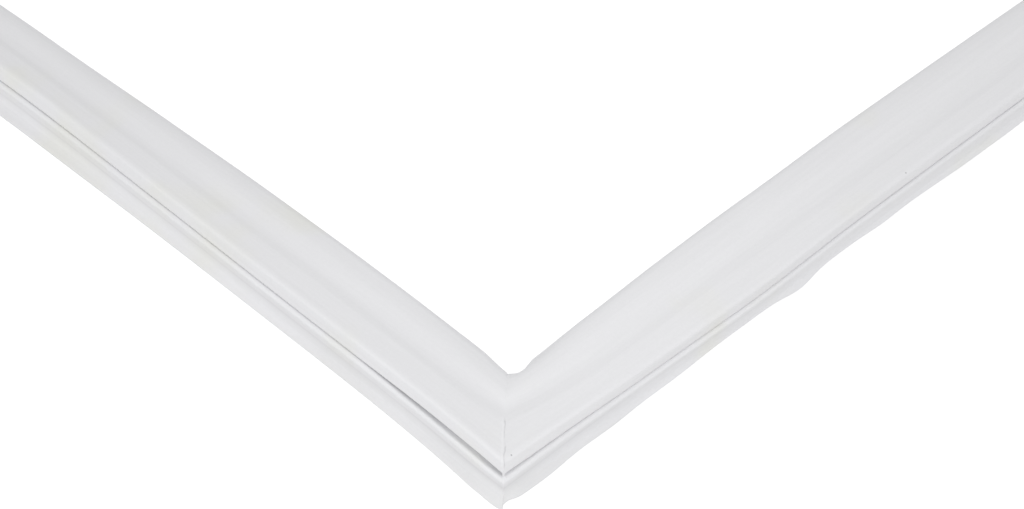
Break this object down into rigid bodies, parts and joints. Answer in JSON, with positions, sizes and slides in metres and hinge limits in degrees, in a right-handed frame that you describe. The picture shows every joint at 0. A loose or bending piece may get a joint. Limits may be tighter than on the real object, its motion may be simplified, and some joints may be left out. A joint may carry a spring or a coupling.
{
  "type": "refrigerator door gasket",
  "caption": "Magnetic door seal for a refrigerator: a welded rectangular frame of hollow soft PVC profile with balloon, bellows, skirt lip and barbed dart.",
  "frame": {"origin": "middle of the gasket, at the height of the dart's tip", "axes": "+X across the door, +Y up the door, +Z from the door towards the cabinet, out of the sealing face"},
  "size_m": [0.5294, 0.7694, 0.0222],
  "materials": {
    "soft_pvc": "satin",
    "magnet": "matte"
  },
  "bodies": {
    "root": {"gasket_frame": "soft_pvc", "magnet_strip_bottom": "magnet", "magnet_strip_top": "magnet", "magnet_strip_left": "magnet", "magnet_strip_right": "magnet"}
  },
  "joints": []
}
